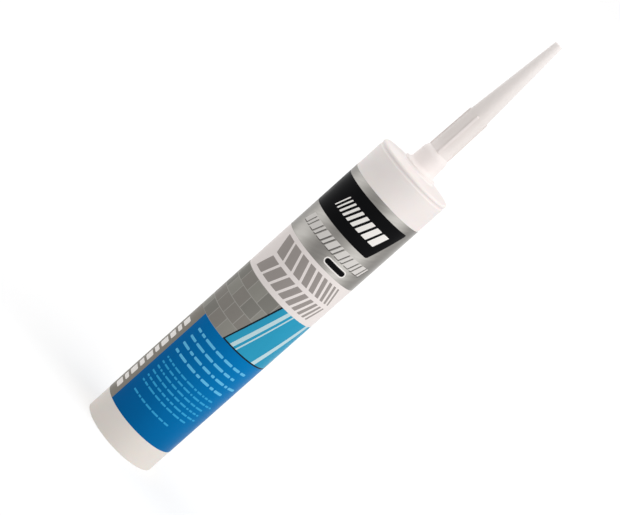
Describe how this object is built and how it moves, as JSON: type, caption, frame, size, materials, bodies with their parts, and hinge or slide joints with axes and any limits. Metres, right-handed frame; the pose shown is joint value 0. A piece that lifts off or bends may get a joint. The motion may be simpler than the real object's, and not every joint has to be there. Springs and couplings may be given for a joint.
{
  "type": "caulk tube",
  "caption": "Sealant cartridge: plain round barrel with a wrap label, domed shoulder and threaded neck, a screw-on tapered nozzle, and a push plunger in its open rear end.",
  "frame": {"origin": "centre of the rear rim, on the surface that the tube stands on", "axes": "+Z along the tube's axis, from the open rear end to the nozzle; +Y towards the label's glued overlap"},
  "size_m": [0.0492, 0.0493, 0.3226],
  "materials": {
    "barrel_plastic": "satin",
    "label_film": "gloss",
    "paste": "gloss",
    "plunger_plastic": "satin",
    "nozzle_plastic": "satin"
  },
  "bodies": {
    "tube": {"cartridge": "barrel_plastic", "label": "label_film", "sealant": "paste"},
    "plunger": {"plunger": "plunger_plastic"},
    "nozzle": {"nozzle": "nozzle_plastic"}
  },
  "joints": [
    {"name": "plunger_slide", "type": "slide", "parent": "tube", "child": "plunger", "axis": [0, 0, 1], "range_m": [0, 0.182], "deforming": ["sealant"]},
    {"name": "nozzle_lift", "type": "slide", "parent": "tube", "child": "nozzle", "axis": [0, 0, 1], "range_m": [0, 0.03]}
  ]
}
